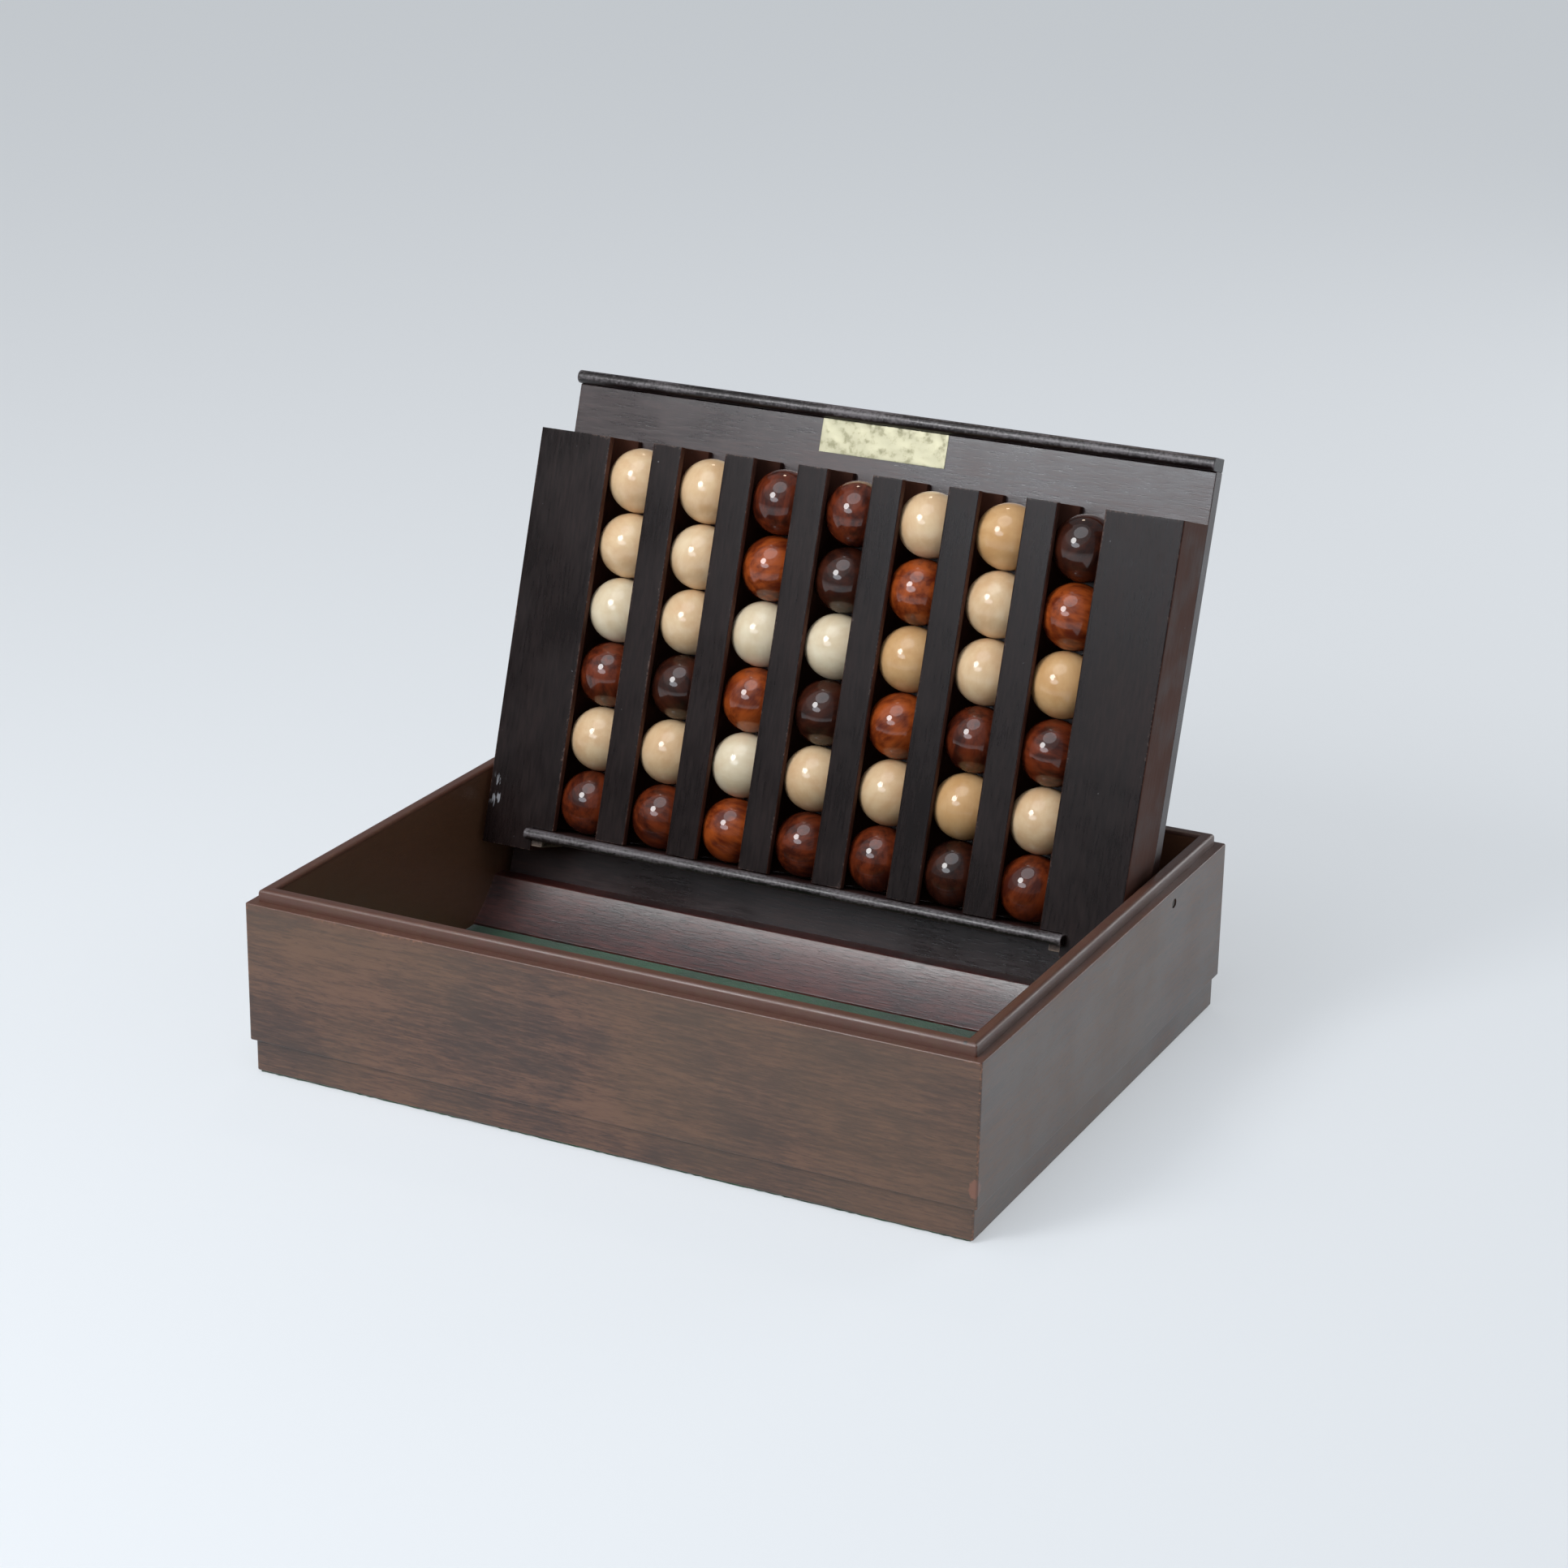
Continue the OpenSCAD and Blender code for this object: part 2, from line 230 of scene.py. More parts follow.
def strip(outline, start, end, place, worn, ease=0.3 * MM, cap=0.38 * MM, fade=3 * MM):
    """Points, faces and wear of a section carried from start to end, with both ends eased.

    place(a, b, c) turns section and line measures into the frame.
    """
    travel, inset = eased_end(ease, cap, fade)
    length = end - start
    middle = np.linspace(travel[-1], length - travel[-1], max(2, int(length / RING_STEP)))[1:-1]
    line = np.r_[start + travel, start + middle, end - travel[::-1]]
    inset = np.r_[inset, 0 * middle, inset[::-1]]
    near_end = np.clip(1 - np.minimum(line - start, end - line) / fade, 0, 1)
    near_end[[0, -1]] = 0
    section = outline[None] - outward(outline)[None] * inset[:, None, None]
    wear = np.maximum(edge_wear(outline, worn, fade)[None], near_end[:, None])
    wear[[0, -1]] = 0
    points = place(section[..., 0], section[..., 1], line[:, None]).reshape(-1, 3)
    return points, ring_faces(len(line), len(outline)), wear.ravel()


square = rounded([(0, 0), (4, 0), (4, 4), (0, 4)], [1] * 4)
print("a 4 mm square with 1 mm corners has", len(square), "points")

# %% [markdown]
# ## Shader maths as expressions
#
# A node tree for wood is mostly arithmetic on noise. A small class wraps a socket, so that
# `fibres * 0.6 + pores` writes the Math nodes. Everything else comes from one method that adds any
# node by its type. Numbers that stay the same all over a surface go straight on the shader's sockets.


# %% Sockets that can be added and multiplied
class Wire:
    """One output socket of a recipe's node tree."""

    def __init__(self, recipe, socket):
        self.recipe, self.socket = recipe, socket

    def _with(self, operation, left, right):
        return self.recipe.add("ShaderNodeMath", {"operation": operation}, {0: left, 1: right})

    def __add__(self, other):
        return self._with("ADD", self, other)

    def __sub__(self, other):
        return self._with("SUBTRACT", self, other)

    def __rsub__(self, other):
        return self._with("SUBTRACT", other, self)

    def __mul__(self, other):
        return self._with("MULTIPLY", self, other)

    __radd__, __rmul__ = __add__, __mul__


class Recipe:
    """A material and the nodes that make it."""

    def __init__(self, name):
        self.material = bpy.data.materials.new(name)
        self.material.use_nodes = True
        self.tree = self.material.node_tree
        self.shader = self.tree.nodes["Principled BSDF"]

    def add(self, kind, settings=None, sockets=None, output=0):
        """Adds a node: its settings first, then the values or links of its sockets."""
        node = self.tree.nodes.new(kind)
        for key, value in (settings or {}).items():
            if key == "stops":
                fill_ramp(node.color_ramp, value)
            else:
                setattr(node, key, value)
        for key, value in (sockets or {}).items():
            self.feed(node.inputs[key], value)
        return Wire(self, node.outputs[output])

    def feed(self, socket, value):
        if isinstance(value, Wire):
            self.tree.links.new(value.socket, socket)
        else:
            socket.default_value = value

    def finish(self, **sockets):
        """Sets the shader's own sockets, written with underscores for blanks."""
        for key, value in sockets.items():
            self.feed(self.shader.inputs[key.replace("_", " ")], value)
        return self.material


def fill_ramp(ramp, stops):
    for _ in range(len(stops) - 2):
        ramp.elements.new(0.5)
    for element, (position, colour) in zip(ramp.elements, stops):
        element.position, element.color = position, colour


def srgb(red, green, blue):
    """A colour as seen, 0 to 255, as the linear colour that shaders use."""
    share = np.array([red, green, blue]) / 255
    linear = np.where(share <= 0.04045, share / 12.92, ((share + 0.055) / 1.055) ** 2.4)
    return (*linear.tolist(), 1.0)


def noise(recipe, where, scale, detail=2.0, roughness=0.5):
    sockets = {"Vector": where, "Scale": scale, "Detail": detail, "Roughness": roughness}
    return recipe.add("ShaderNodeTexNoise", {}, sockets)


def between(recipe, value, low, high, to_low=0.0, to_high=1.0):
    """value eased from to_low at low to to_high at high."""
    sockets = {"Value": value, "From Min": low, "From Max": high, "To Min": to_low, "To Max": to_high}
    return recipe.add("ShaderNodeMapRange", {"interpolation_type": "SMOOTHSTEP"}, sockets)


def mix(recipe, share, first, second):
    """Colour first, with second over it by share."""
    return recipe.add("ShaderNodeMix", {"data_type": "RGBA"}, {0: share, 6: first, 7: second}, output=2)


def attribute(recipe, name, output="Fac"):
    return recipe.add("ShaderNodeAttribute", {"attribute_name": name}, output=output)


def bump(recipe, height, distance):
    return recipe.add("ShaderNodeBump", {}, {"Height": height, "Distance": distance, "Strength": 1.0})


print("a mid brown, linear:", srgb(100, 80, 70))

# %% [markdown]
# ## Stained wood
#
# Wood reads as wood through lengthwise streaks: broad bands of figure, fine fibres, and short dark
# pores where stain has collected. Each is a noise that is stretched along the grain. The grain runs
# along a different axis on each part, so the recipe takes that axis, and a turn for the leaning rack.
# A wear attribute, drawn on the meshes along their edges, is broken up with noise before it uncovers
# the lighter wood under the stain.


# %% The wood recipe
def wood(name, grain, tones, worn, turn=0.0, figure=(90, 7), contrast=0.16, rough=(0.4, 0.55),
         ridges=1.0, relief=0.05 * MM, wear_at=(0.6, 1.0), coat=0.0, coat_rough=0.3, specular=0.5,
         extra=None):
    """Wood with its grain along axis grain (0 x, 1 y, 2 z), after a turn about x.

    tones are the dark, middle and light stain colours, contrast how far the tone swings between
    them, figure the bands' scale across and along, and wear_at where the worn edge starts and is full.
    """
    r = Recipe(name)
    here = r.add("ShaderNodeTexCoord", output="Object")
    turned = r.add("ShaderNodeMapping", {}, {"Vector": here, "Rotation": (turn, 0, 0)})

    def stretched(across, lengthwise):
        scale = [across] * 3
        scale[grain] = lengthwise
        return r.add("ShaderNodeMapping", {}, {"Vector": turned, "Scale": scale})

    bands = noise(r, stretched(*figure), 1, 3, 0.6)
    fibres = noise(r, stretched(1000, 110), 1, 3, 0.65)
    pores = between(r, noise(r, stretched(1900, 260), 1, 2, 0.6), 0.56, 0.7)
    cloud = noise(r, here, 30, 3)
    tone = bands * 0.25 + fibres * 0.45 + cloud * 0.3 - pores * 0.07
    stops = [(0.0, tones[0]), (0.5, tones[1]), (1.0, tones[2])]
    swing = between(r, tone, 0.5 - contrast, 0.5 + contrast)
    stain = r.add("ShaderNodeValToRGB", {"stops": stops}, {0: swing})
    speck = noise(r, here, 900, 3)
    rubbed = attribute(r, "wear") + (speck + cloud - 1.0) * 1.1 + (fibres - 0.5) * 0.6
    bare = between(r, rubbed, *wear_at)
    colour = mix(r, bare * 0.8, stain, worn)
    gloss = between(r, cloud * 0.6 + fibres * 0.4, 0.4, 0.6, *rough)
    if extra:
        colour, gloss = extra(r, here, colour, gloss)
    height = fibres * (0.8 * ridges) - pores * 0.5 + bands * 0.3
    return r.finish(Base_Color=colour, Roughness=gloss, Normal=bump(r, height, relief),
                    Coat_Weight=coat, Coat_Roughness=coat_rough, Specular_IOR_Level=specular)


print("wood recipe ready")

# %% [markdown]
# ## The tray's wood
#
# The walls are a brown stained hardwood with fine grain along each wall and golden patches. The lip
# and ledge are redder, a nail's dot shows on the front lip, and near one lower corner a splinter has
# come off and shows the reddish wood inside. A thin satin varnish lets the side pick up the table's
# light. Marks at one place are drawn by distance: near the place one colour, further off the other.

# %% Tray wood finishes
TRAY_TONES = (srgb(54, 32, 23), srgb(84, 55, 40), srgb(108, 74, 54))
BARE_WOOD = srgb(170, 112, 80)
GOLDEN_PATCH = srgb(98, 74, 48)
LIP_STAIN = srgb(88, 50, 36)
INSIDE_PAINTED_LIGHT = srgb(144, 98, 72)
CHIP, CHIP_COLOUR = (141.4 * MM, -112.5 * MM, 20.5 * MM), srgb(122, 78, 58)
NAIL, NAIL_COLOUR = (134.7 * MM, -108.4 * MM, 69.9 * MM), srgb(24, 16, 14)


def distance_to(r, here, centre, stretch):
    """Distance of each point from centre, with each axis scaled first."""
    offset = r.add("ShaderNodeVectorMath", {"operation": "SUBTRACT"}, {0: here, 1: centre})
    scaled = r.add("ShaderNodeVectorMath", {"operation": "MULTIPLY"}, {0: offset, 1: stretch})
    return r.add("ShaderNodeVectorMath", {"operation": "LENGTH"}, {0: scaled}, output="Value")


def tray_marks(r, here, colour, gloss):
    """Golden patches, painted light inside, the lip's stain, the bare splinter and the nail's dot."""
    blotch = noise(r, here, 300, 3)
    golden = between(r, noise(r, here, 12, 3), 0.35, 0.65)
    colour = mix(r, golden * 0.35, colour, GOLDEN_PATCH)
    # painted light: the inner faces, in the tray's shade, are painted a much lighter brown
    colour = mix(r, attribute(r, "inner") * 0.8, colour, INSIDE_PAINTED_LIGHT)
    uneven = between(r, blotch, 0.3, 0.6, 0.55, 0.95)
    colour = mix(r, attribute(r, "lip") * uneven, colour, LIP_STAIN)
    torn = (noise(r, here, 800, 2) - 0.5) * (1.6 * MM)
    splinter = distance_to(r, here, CHIP, (1.0, 0.5, 0.5)) + torn
    colour = mix(r, between(r, splinter, 1.6 * MM, 2.0 * MM, 1.0, 0.0), colour, CHIP_COLOUR)
    dot = distance_to(r, here, NAIL, (1.0, 1.0, 1.0)) + (blotch - 0.5) * (0.4 * MM)
    colour = mix(r, between(r, dot, 0.5 * MM, 0.9 * MM, 0.9, 0.0), colour, NAIL_COLOUR)
    return colour, gloss


satin = dict(contrast=0.13, coat=0.6, coat_rough=0.34, extra=tray_marks)
tray_wood_x = wood("tray_wood_lengthwise", 0, TRAY_TONES, BARE_WOOD, **satin)
tray_wood_y = wood("tray_wood_sideways", 1, TRAY_TONES, BARE_WOOD, **satin)
PANEL_TONES = (srgb(38, 26, 20), srgb(58, 41, 32), srgb(78, 57, 45))
inner_wood = wood("inner_wood", 0, PANEL_TONES, srgb(110, 78, 58))
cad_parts["base_panel"].data.materials.clear()
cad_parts["base_panel"].data.materials.append(inner_wood)
print("tray wood along x and along y")

# %% [markdown]
# ## The four walls
#
# A wall is a section with a set-in foot, a ledge and a rounded lip, mitred at both ends. Each point of
# the section runs out to the mitre, where the outer edge turns a small rounded corner that its
# neighbour completes. Near the pivot the side walls have a fine grid, and a warp from squares to
# circles turns it into the round recess that shows the steel pin's end.

# %% Wall surfaces
WALL_CORNERS = np.array([
    (FOOT_INSET, FOOT_Z), (FOOT_INSET, FOOT_TOP), (0, FOOT_TOP), (0, LEDGE_Z), (LEDGE_W, LEDGE_Z),
    (LEDGE_W, TRAY_H), (WALL_T, TRAY_H), (WALL_T, PANEL_TOP), (WALL_T - REBATE_W, PANEL_TOP),
    (WALL_T - REBATE_W, FOOT_Z)])
WALL_RADII = np.array([0.5, 0, 0.45, 0.55, 0, 1.6, 1.6, 0.3, 0, 0.3]) * MM
WORN_WALL = WALL_CORNERS[[3, 5, 6]]
FROM_MITRE = np.array([0, 0.12, 0.25, 0.4, 0.6, 0.9, 1.4, 2.2, 3.4, 5.5, 9, 15, 22, 30]) * MM
HOLE_STEP = 0.45 * MM
HOLE_REACH = 8


def corner_radius(o, z):
    """Radius of the upright corner at each section point, less behind the face than on it."""
    on_lip = (z > LEDGE_Z - 1e-6) & (o > LEDGE_W - 1e-6)
    face = np.where(z < FOOT_TOP + 1e-6, FOOT_INSET, np.where(on_lip, LEDGE_W, 0))
    most = np.where(face == LEDGE_W, 0.7 * MM, 0.9 * MM)
    return np.clip(most - (o - face), 0, most)


def turned_corner(m, o, radius):
    """Distances from the corner's two faces, at m along the section point's path to the mitre.

    The path is an arc of 45 degrees, and after its end a straight line along the wall.
    """
    arc = radius * np.pi / 4
    angle = np.pi / 4 * (1 - np.clip(m / np.maximum(arc, 1e-12), 0, 1))
    angle = np.where(radius > 1e-9, angle, 0)
    along = o + radius - radius * np.sin(angle) + np.maximum(m - arc, 0)
    return along, o + radius - radius * np.cos(angle)


def wall_surface(run, hole_at=None):
    """Grids of distance along the wall, distance inwards and height, and the wall's attributes."""
    outline = rounded(WALL_CORNERS, WALL_RADII, 5)
    if hole_at is not None:
        rows = PIVOT_Z + HOLE_STEP * np.arange(-HOLE_REACH, HOLE_REACH + 1)
        low = np.flatnonzero((np.abs(outline[:, 0]) < 1e-9) & (outline[:, 1] < rows[0]))[-1]
        outline = np.insert(outline, low + 1, np.stack([0 * rows, rows], 1), 0)
    outline = with_stops(outline, 2.6 * MM)
    o, z = outline.T
    near = FROM_MITRE[:, None]
    along, inward = turned_corner(near, o[None], corner_radius(o, z)[None])
    edge = run / 2 - near[-1, 0]
    middle = np.linspace(-edge, edge, int(2 * edge / (5 * MM)))[1:-1]
    if hole_at is not None:
        middle = middle[np.abs(middle - hole_at) > HOLE_STEP * (HOLE_REACH + 1)]
        middle = np.sort(np.r_[middle, hole_at + HOLE_STEP * np.arange(-HOLE_REACH, HOLE_REACH + 1)])
    share = ((middle + edge) / (2 * edge))[:, None]
    left, right = along - run / 2, run / 2 - along[::-1]
    x = np.concatenate([left, left[-1] + (right[0] - left[-1]) * share, right])
    inward = np.concatenate([inward, np.repeat(inward[-1:], len(middle), 0), inward[::-1]])
    z = np.broadcast_to(z, x.shape).copy()
    to_corner = np.r_[near[:, 0], 0 * middle + 1, near[::-1, 0]][:, None]
    upright = np.clip(1 - to_corner / (2 * MM), 0, 1) * (o < 4 * MM)
    wear = 0.75 * np.maximum(edge_wear(outline, WORN_WALL, 2.5 * MM)[None], upright)
    inner = np.broadcast_to((o > WALL_T - 1e-6) * 1.0, x.shape)
    lip = np.clip((z - LEDGE_Z) / (0.7 * MM) + 1.2, 0, 1) * (inner == 0)
    if hole_at is not None:
        x, inward, z = press_round_recess(x, inward, z, hole_at)
    return x, inward, z, dict(wear=wear, inner=inner, lip=lip)


def press_round_recess(x, inward, z, hole_at):
    """Warps the square grid round the pin into rings, and pushes the innermost rings in.

    A point keeps its direction from the pin, and its distance becomes its square ring's, so squares
    turn into circles; further out the two distances are blended back to the square.
    """
    across, up = x - hole_at, z - PIVOT_Z
    square = np.maximum(np.abs(across), np.abs(up))
    outer = (np.abs(inward) < 1e-6) & (square < HOLE_STEP * HOLE_REACH + 1e-6)
    radius = np.hypot(across, up) + 1e-12
    rim = 4 * HOLE_STEP
    back = np.clip((square - rim) / rim, 0, 1)
    circle = np.where(square < rim - 1e-6, square * (PIN_R / (3 * HOLE_STEP)), square)
    scale = np.where(outer, (circle * (1 - back) + radius * back) / radius, 1)
    depth = np.where(outer & (square < rim - 1e-6), 0.5 * MM, 0)
    return hole_at + across * scale, inward + depth, PIVOT_Z + up * scale


def build_wall(name, node, run, place, finish, hole_at=None):
    """One wall as a finished piece; place turns its own measures into the tray's."""
    x, inward, z, fields = wall_surface(run, hole_at)
    points = place(x, inward, z)
    piece = make_piece(name, points.reshape(-1, 3), ring_faces(*x.shape), "tray", node, "tray_wood",
                       **{key: values.ravel() for key, values in fields.items()})
    piece.data.materials.append(finish)
    print(name, len(piece.data.polygons), "faces")


HALF_W, HALF_D = TRAY_W / 2, TRAY_D / 2
in_front = lambda x, o, z: np.stack([x, o - HALF_D, z], -1)
behind = lambda x, o, z: np.stack([-x, HALF_D - o, z], -1)
at_right = lambda x, o, z: np.stack([HALF_W - o, x, z], -1)
at_left = lambda x, o, z: np.stack([o - HALF_W, -x, z], -1)
build_wall("tray_front", "front_wall", TRAY_W, in_front, tray_wood_x)
build_wall("tray_back", "back_wall", TRAY_W, behind, tray_wood_x)
build_wall("tray_right", "right_wall", TRAY_D, at_right, tray_wood_y, PIVOT_Y)
build_wall("tray_left", "left_wall", TRAY_D, at_left, tray_wood_y, -PIVOT_Y)

# %% [markdown]
# ## The ball ramp and the rest rail
#
# The ramp is a hollowed moulding, stained redder than the walls and thickly varnished: its slope shows
# a long grain and a broad soft highlight. Its section is an arc of large radius between toe and crest.
# The plain rail behind the front wall carries the rack's top edge when the rack is folded down.

# %% Ramp and rail
CREST, TOE = np.array([43.2311, 24.4683]) * MM, np.array([27.2311, 9.8]) * MM
RAMP_BACK, FLOOR_Z, HOLLOW = 49.3311 * MM, 9 * MM, 1 * MM
INNER_HALF_W, INNER_HALF_D = HALF_W - WALL_T, HALF_D - WALL_T


def hollow_slope(steps=24):
    """Points from toe to crest on a circle that dips by HOLLOW below the straight line.

    Its radius is (chord^2 / 4 + dip^2) / (2 dip), and its centre lies above the chord's middle.
    """
    chord = CREST - TOE
    length = np.linalg.norm(chord)
    up = np.array([-chord[1], chord[0]]) / length
    radius = (length**2 / 4 + HOLLOW**2) / (2 * HOLLOW)
    centre = (TOE + CREST) / 2 + up * (radius - HOLLOW)
    reach = math.asin(length / 2 / radius) * np.linspace(-1, 1, steps)
    return centre + radius * (np.sin(reach)[:, None] * chord / length - np.cos(reach)[:, None] * up)


slope = hollow_slope()
ramp_corners = np.concatenate([slope, [(RAMP_BACK, CREST[1]), (RAMP_BACK, FLOOR_Z), (TOE[0], FLOOR_Z)]])
ramp_radii = np.r_[0.25 * MM, np.zeros(len(slope) - 2), 0.7 * MM, 0.4 * MM, 0.0, 0.0]
ramp_outline = with_stops(rounded(ramp_corners, ramp_radii, 4), 3 * MM)
lengthwise = lambda a, b, c: np.stack(np.broadcast_arrays(c, a, b), -1)
points, faces, wear = strip(ramp_outline, -INNER_HALF_W, INNER_HALF_W, lengthwise, [CREST],
                            ease=0.05 * MM, cap=0.2 * MM)
RAMP_TONES = (srgb(30, 8, 8), srgb(62, 20, 18), srgb(92, 40, 34))
ramp_wood = wood("ramp_wood", 0, RAMP_TONES, srgb(90, 48, 42), figure=(160, 5), rough=(0.34, 0.44),
                 ridges=1.6, coat=1.0, coat_rough=0.34, relief=0.12 * MM)
ramp = make_piece("ramp_moulding", points, faces, "tray", "ball_ramp", "ramp_wood", wear=wear)
ramp.data.materials.append(ramp_wood)


def box_corners(a0, a1, b0, b1):
    """A rectangle's four corners, in order round it."""
    return [(a0, b0), (a1, b0), (a1, b1), (a0, b1)]


rail_low, rail_high = (np.array(corner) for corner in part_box("front_rest_rail"))
rail_corners = box_corners(rail_low[1], rail_high[1], rail_low[2], rail_high[2])
rail_outline = with_stops(rounded(rail_corners, [0, 0.6 * MM, 0.8 * MM, 0]), 3 * MM)
points, faces, wear = strip(rail_outline, rail_low[0], rail_high[0], lengthwise, rail_corners[1:3],
                            ease=0.05 * MM)
rail = make_piece("rest_rail", points, faces, "tray", "front_rest_rail", "inner_wood", wear=wear * 0.6)
rail.data.materials.append(inner_wood)
print("ramp", len(ramp.data.polygons), "faces; rail", len(rail.data.polygons))

# %% [markdown]
# ## The rack's wood
#
# The rack is stained almost black, with a satin surface that picks up a cool sheen. Years of handling
# left pale scratches low on the left block and a few light specks on the slats. The faces that look
# sideways are painted a lighter brown, as painted light where the lamps would catch them. Its grain
# runs up the slats and blocks, and across the board behind them.


# %% Rack finishes
SIDE_PAINTED_LIGHT, SCRATCH, SPECK = srgb(86, 52, 40), srgb(150, 150, 155), srgb(120, 118, 120)
SCUFFED_SPOT = tuple(on_rack(-127.5 * MM, 0, 20 * MM))
SCUFFED_SIZE = (5 * MM, 5 * MM, 11 * MM)


def rack_marks(r, here, colour, gloss):
    """Painted light browning sideways faces, short pale scratches in one left-block patch, fine light
    specks.
    """
    uneven = between(r, noise(r, here, 60, 3), 0.3, 0.6, 0.6, 1.0)
    # painted light: faces that look sideways are painted lighter brown, standing in for lamp light on them
    flank = between(r, attribute(r, "side"), 0.45, 0.8) * uneven
    colour = mix(r, flank, colour, SIDE_PAINTED_LIGHT)
    away = distance_to(r, here, SCUFFED_SPOT, tuple(1 / size for size in SCUFFED_SIZE))
    patch = between(r, away, 0.3, 1.0, 1.0, 0.0)
    stretch = {"Vector": here, "Rotation": (0, 0.5, 0), "Scale": (900, 300, 170)}
    line = r.add("ShaderNodeMapping", {}, stretch)
    scratch = between(r, noise(r, line, 1, 2) + patch * 0.16, 0.7, 0.76)
    speck = between(r, noise(r, here, 420, 1), 0.80, 0.84)
    colour = mix(r, scratch * patch * 0.8, colour, SCRATCH)
    return mix(r, speck * 0.5, colour, SPECK), gloss + flank * 0.35


RACK_TONES = (srgb(14, 8, 8), srgb(27, 17, 16), srgb(40, 26, 24))
BOARD_TONES = (srgb(26, 12, 12), srgb(46, 26, 25), srgb(68, 40, 36))
RUNNER_TONES = (srgb(60, 46, 38), srgb(98, 80, 68), srgb(128, 108, 94))
RUBBED_RACK, RUBBED_STRIP, RUBBED_RUNNER = srgb(104, 84, 76), srgb(112, 106, 108), srgb(170, 150, 135)
satin_black = dict(turn=LEAN, contrast=0.3, rough=(0.27, 0.37), relief=0.02 * MM, wear_at=(0.85, 1.3))
rack_wood_up = wood("rack_wood_upright", 2, RACK_TONES, RUBBED_RACK, specular=0.22, extra=rack_marks,
                    **satin_black)
rack_wood_across = wood("rack_wood_across", 0, BOARD_TONES, RUBBED_RACK, specular=0.8, **satin_black)
strip_wood = wood("handled_strip_wood", 0, RACK_TONES, RUBBED_STRIP, turn=LEAN, rough=(0.3, 0.42),
                  relief=0.05 * MM, wear_at=(0.5, 1.1))
runner_wood = wood("runner_wood", 1, RUNNER_TONES, RUBBED_RUNNER)
print("rack finishes ready")

# %% [markdown]
# ## Board, top strip and slats
#
# The board and its round-nosed top strip are sections carried across the rack, with small rounded
# corners and eased ends, because sawn and sanded wood has no sharp edge. The board closes the channels
# from behind. The strip's nose has been rubbed by hands.

# %% Strips across the rack
across = lambda a, b, c: on_rack(c, a, b)
upright = lambda a, b, c: on_rack(a, b, c)


def rack_strip(name, node, outline, start, end, place, worn, finish, body="rack", slot="rack_wood",
               **options):
    """A carried section as a finished piece; its side attribute is 1 on faces that look sideways."""
    points, faces, wear = strip(outline, start, end, place, worn, **options)
    side = np.tile(np.abs(outward(outline)[:, 0]), len(points) // len(outline))
    piece = make_piece(name, points, faces, body, node, slot, wear=wear, side=side)
    piece.data.materials.append(finish)
    print(name, len(piece.data.polygons), "faces")


BOARD_FOOT = -17 * MM
board = box_corners(BLOCK_D, RACK_D, BOARD_FOOT, BOARD_TOP)
board_outline = with_stops(rounded(board, [0.6 * MM] * 4), 3 * MM)
rack_strip("rack_board", "back_board", board_outline, -RACK_HALF, RACK_HALF, across, board, rack_wood_across)


def nosed(front, back, low, high, steps=12):
    """A strip's section with a half-round front: a half circle, then two square back corners."""
    r = (high - low) / 2
    t = np.linspace(-np.pi / 2, -3 * np.pi / 2, steps)
    nose = np.stack([front + r + r * np.cos(t), low + r + r * np.sin(t)], 1)
    square = [(back, high), (back, low), (back - r, low), (back - r, high)]
    behind = rounded(square, [0.4 * MM, 0.4 * MM, 0, 0])[:10]
    return np.concatenate([nose, behind])


CAP_FRONT = BLOCK_D - 4 * MM
cap_outline = with_stops(nosed(CAP_FRONT, RACK_D, BOARD_TOP, RACK_TOP), 2 * MM)
cap_worn = [(CAP_FRONT, BOARD_TOP + 2.5 * MM), (CAP_FRONT + 1.5 * MM, RACK_TOP), (RACK_D, RACK_TOP)]
rack_strip("rack_top_strip", "top_cap", cap_outline, -RACK_HALF, RACK_HALF, across, cap_worn, strip_wood)

# %% [markdown]
# Each slat is a section carried up the rack: a narrow flat face in front and behind, and at each side
# the wall of a round channel, which is an arc about the channel's centre. The balls show through the
# opening between two slats, and the narrower lips keep them in.

# %% Upright slats
MEET = math.acos(OPENING_W / 2 / BORE_R)
SHALLOW = dict(ease=0.2 * MM, cap=0.28 * MM)


def channel_wall(centre_x, side, steps=28):
    """The channel's round wall from its front lip to its back lip, as an arc about its centre."""
    t = np.linspace(-MEET, MEET, steps)
    return np.stack([centre_x + side * BORE_R * np.cos(t), BORE_D + BORE_R * np.sin(t)], 1)


def slat_outline(x):
    """A slat between two channels: flat front and back, and a hollow wall at each side."""
    right = channel_wall(x + PITCH / 2, -1)
    left = channel_wall(x - PITCH / 2, 1)[::-1]
    half = (PITCH - OPENING_W) / 2
    front, behind = [(x - half, 0), (x + half, 0)], [(x + half, BLOCK_D), (x - half, BLOCK_D)]
    corners = np.concatenate([front, right, behind, left])
    lip = np.r_[0.3 * MM, np.zeros(len(right) - 2), 0.3 * MM]
    radii = np.r_[0.5 * MM, 0.5 * MM, lip, 0.3 * MM, 0.3 * MM, lip]
    return with_stops(rounded(corners, radii, 3), 2.4 * MM), corners[:2]


for k in range(1, 7):
    outline, worn = slat_outline(FIRST_X + (k - 0.5) * PITCH)
    rack_strip(f"slat_{k}", f"divider_{k}", outline, CHANNEL_S, BLOCK_TOP, upright, worn, rack_wood_up,
               fade=2 * MM, **SHALLOW)

# %% [markdown]
# ## The two end blocks
#
# An end block has a slat's channel wall on its inner side and a broad plain face outside. Its lower
# end is narrower, because the shelf slides in beside it. The same section serves for both parts: below
# the channels every point is held outside the slot, and the points that meet there are merged.


